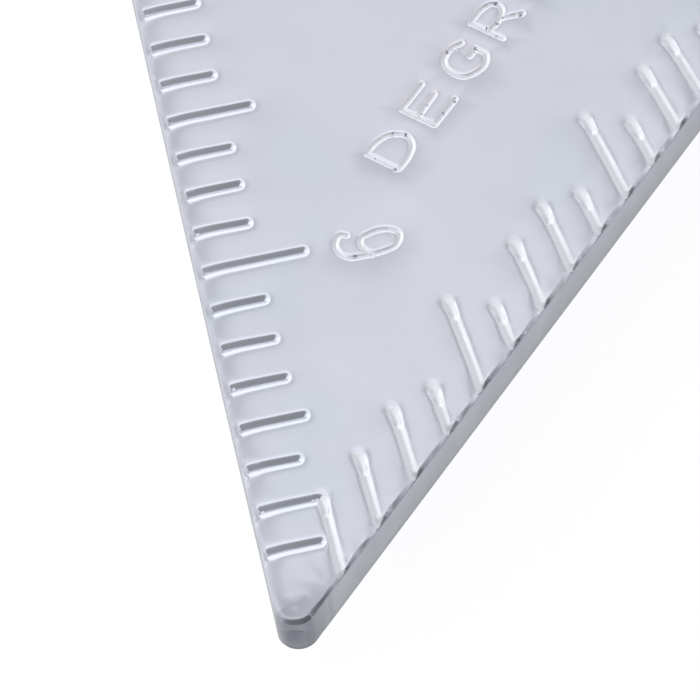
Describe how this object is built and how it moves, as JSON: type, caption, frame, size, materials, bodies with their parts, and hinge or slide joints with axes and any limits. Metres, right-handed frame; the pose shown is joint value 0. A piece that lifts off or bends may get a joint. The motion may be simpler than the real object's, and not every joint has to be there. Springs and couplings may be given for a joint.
{
  "type": "adjustable rafter square",
  "caption": "Cast aluminium triangle with ruled and degree-marked edges and a two-rail fence that swings about its corner and locks along an arc slot with a thumb knob.",
  "frame": {"origin": "pivot axis, which is the corner both scales are read from, at the plate's mid-thickness", "axes": "+X along the ruled edge towards the 45 degree tip, +Y along the fence at rest, +Z out of the face that carries the clamp knob"},
  "size_m": [0.1971, 0.2085, 0.0359],
  "materials": {
    "cast_plate": "satin cast, tumbled",
    "rail_aluminium": "satin machined",
    "steel": "bright zinc plated",
    "brass": "turned",
    "glide_plastic": "low-friction white plastic",
    "knob_plastic": "moulded, fine grain",
    "knob_cap": "spun"
  },
  "bodies": {
    "square": {"square_plate": "cast_plate", "pivot_bush_upper": "brass", "pivot_bush_lower": "brass"},
    "fence": {"upper_rail": "rail_aluminium", "lower_rail": "rail_aluminium", "upper_glide_strip": "glide_plastic", "lower_glide_strip": "glide_plastic", "pivot_bolt": "steel", "pivot_washer": "steel", "pivot_disc_spring": "steel", "pivot_nut": "steel", "tie_block": "rail_aluminium", "tie_screws": "steel", "tie_nuts": "steel", "clamp_bolt": "steel", "slot_sleeve": "brass"},
    "knob_carrier": {"captive_washer": "steel"},
    "knob": {"knob_grip": "knob_plastic", "knob_insert": "brass", "knob_cap": "knob_cap"}
  },
  "joints": [
    {"name": "fence_swing", "type": "hinge", "parent": "square", "child": "fence", "pos_m": [0, 0, 0], "axis": [0, 0, -1], "range_deg": [0, 70]},
    {"name": "knob_lift", "type": "slide", "parent": "fence", "child": "knob_carrier", "axis": [0, 0, 1], "range_m": [0, 0.0012]},
    {"name": "knob_turn", "type": "hinge", "parent": "knob_carrier", "child": "knob", "pos_m": [-0.0065, 0.096, 0.018], "axis": [0, 0, 1], "range_deg": [0, 540]}
  ],
  "couplings": [
    {"joint": "knob_lift", "follows": "knob_turn", "m_per_rad": 0.00012732}
  ]
}
